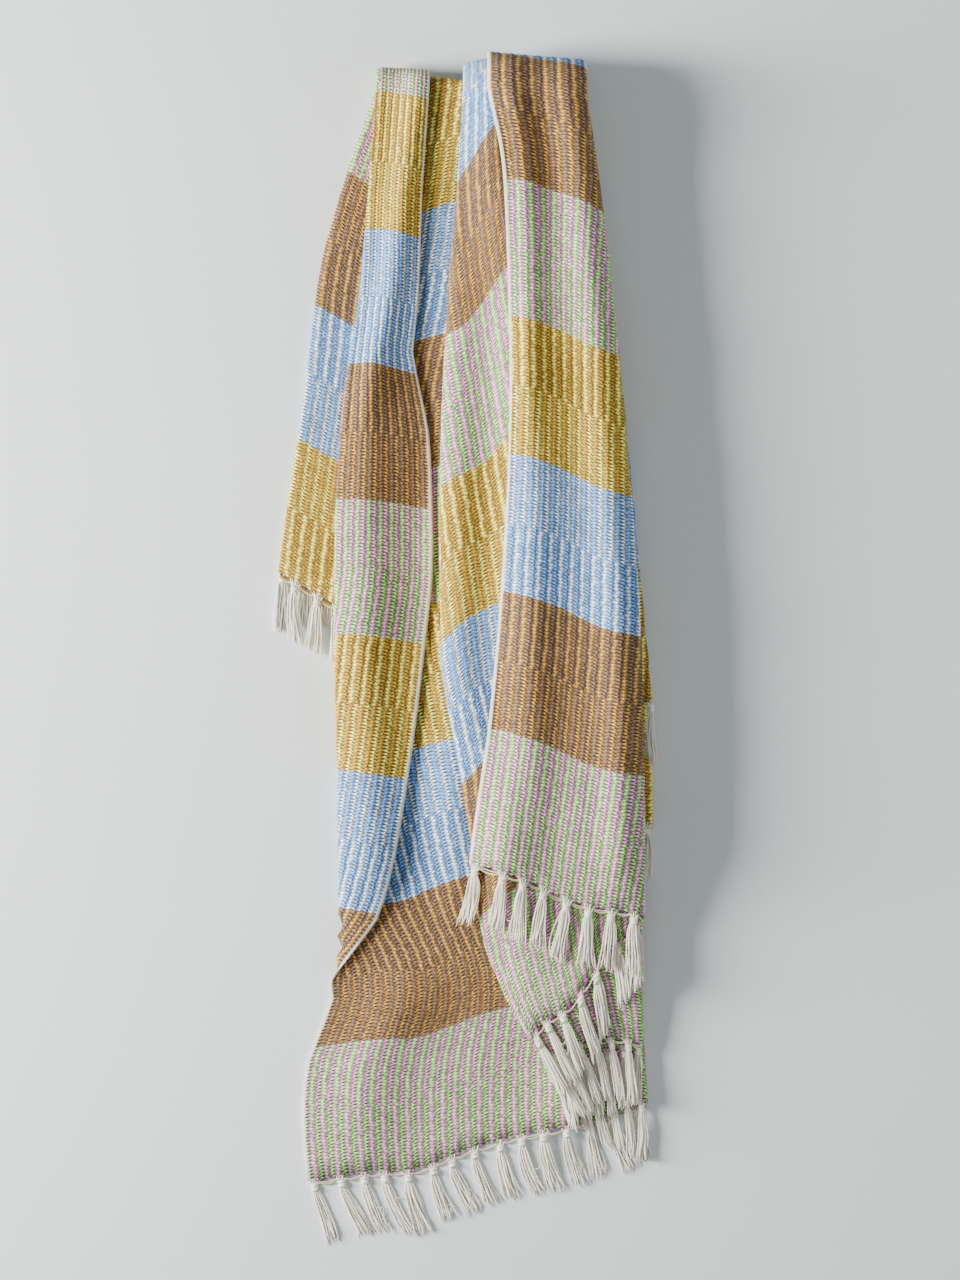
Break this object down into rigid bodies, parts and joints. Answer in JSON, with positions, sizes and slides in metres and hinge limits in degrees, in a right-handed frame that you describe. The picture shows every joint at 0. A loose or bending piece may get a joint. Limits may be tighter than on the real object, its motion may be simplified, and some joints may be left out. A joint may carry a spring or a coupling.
{
  "type": "throw blanket",
  "caption": "Woven rib throw blanket with colour-block bands and a knotted cream fringe at both ends, pleated lengthways, doubled over and laid out.",
  "frame": {"origin": "centre of the bounding box, on the surface that the throw lies on", "axes": "+Z up from the surface, +Y along the throw's length towards the doubled-over top, +X to the right as seen from above with +Y up"},
  "size_m": [0.4284, 1.331, 0.1023],
  "materials": {
    "rib_cotton": "woven cotton rib, matte, in mint and lilac, ochre and mauve, sky blue and grey, yellow and gold bands",
    "cream_yarn": "cream cotton yarn, knotted, matte"
  },
  "bodies": {
    "root": {"throw_cloth": "rib_cotton", "fringe_front": "cream_yarn", "fringe_back": "cream_yarn"}
  },
  "joints": []
}
